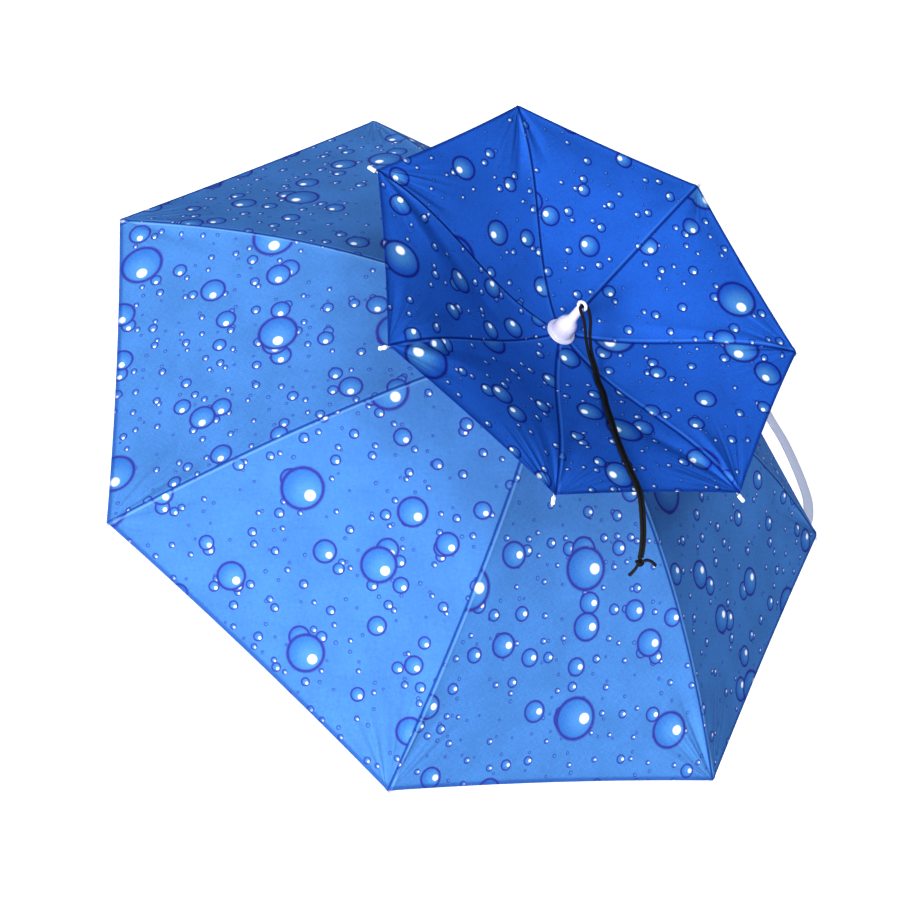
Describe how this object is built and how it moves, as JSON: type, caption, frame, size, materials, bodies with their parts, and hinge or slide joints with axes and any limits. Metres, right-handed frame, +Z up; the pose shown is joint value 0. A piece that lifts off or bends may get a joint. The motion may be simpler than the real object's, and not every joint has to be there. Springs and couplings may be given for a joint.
{
  "type": "umbrella hat",
  "caption": "Hands-free umbrella hat with a wide ribbed lower canopy, a small bowl-shaped vent canopy, a cord cap, a headband and a chin strap.",
  "frame": {"origin": "on the hat's axis, at the level that the lower rib tips stand on", "axes": "+Z up along the hub's axis, -Y towards the wearer's front along the first rib, +X to the wearer's left"},
  "size_m": [0.7532, 0.7645, 0.2573],
  "materials": {
    "cloth": "thin woven polyester, azure water-drop print",
    "rib_wire": "plain steel wire",
    "white_plastic": "smooth moulded",
    "elastic_band": "woven elastic webbing",
    "strap": "flat woven elastic tape",
    "cord": "braided cord"
  },
  "bodies": {
    "root": {"lower_panel_1": "cloth", "lower_panel_2": "cloth", "lower_panel_3": "cloth", "lower_panel_4": "cloth", "lower_panel_5": "cloth", "lower_panel_6": "cloth", "lower_panel_7": "cloth", "upper_panel_1": "cloth", "upper_panel_2": "cloth", "upper_panel_3": "cloth", "upper_panel_4": "cloth", "upper_panel_5": "cloth", "upper_panel_6": "cloth", "upper_panel_7": "cloth", "hub_post": "white_plastic", "upper_hub": "white_plastic", "cap": "white_plastic", "headband": "elastic_band", "chin_strap": "strap", "lower_rib_1": "rib_wire", "lower_rib_2": "rib_wire", "lower_rib_3": "rib_wire", "lower_rib_4": "rib_wire", "lower_rib_5": "rib_wire", "lower_rib_6": "rib_wire", "lower_rib_7": "rib_wire", "upper_rib_1": "rib_wire", "upper_rib_2": "rib_wire", "upper_rib_3": "rib_wire", "upper_rib_4": "rib_wire", "upper_rib_5": "rib_wire", "upper_rib_6": "rib_wire", "upper_rib_7": "rib_wire", "lower_tip_1": "white_plastic", "lower_tip_2": "white_plastic", "lower_tip_3": "white_plastic", "lower_tip_4": "white_plastic", "lower_tip_5": "white_plastic", "lower_tip_6": "white_plastic", "lower_tip_7": "white_plastic", "upper_tip_1": "white_plastic", "upper_tip_2": "white_plastic", "upper_tip_3": "white_plastic", "upper_tip_4": "white_plastic", "upper_tip_5": "white_plastic", "upper_tip_6": "white_plastic", "upper_tip_7": "white_plastic", "stay_1": "elastic_band", "stay_2": "elastic_band", "stay_3": "elastic_band", "stay_4": "elastic_band", "stay_5": "elastic_band", "stay_6": "elastic_band", "stay_7": "elastic_band", "cord_strand_1": "cord", "cord_strand_2": "cord", "cord_knot": "cord"}
  },
  "joints": []
}
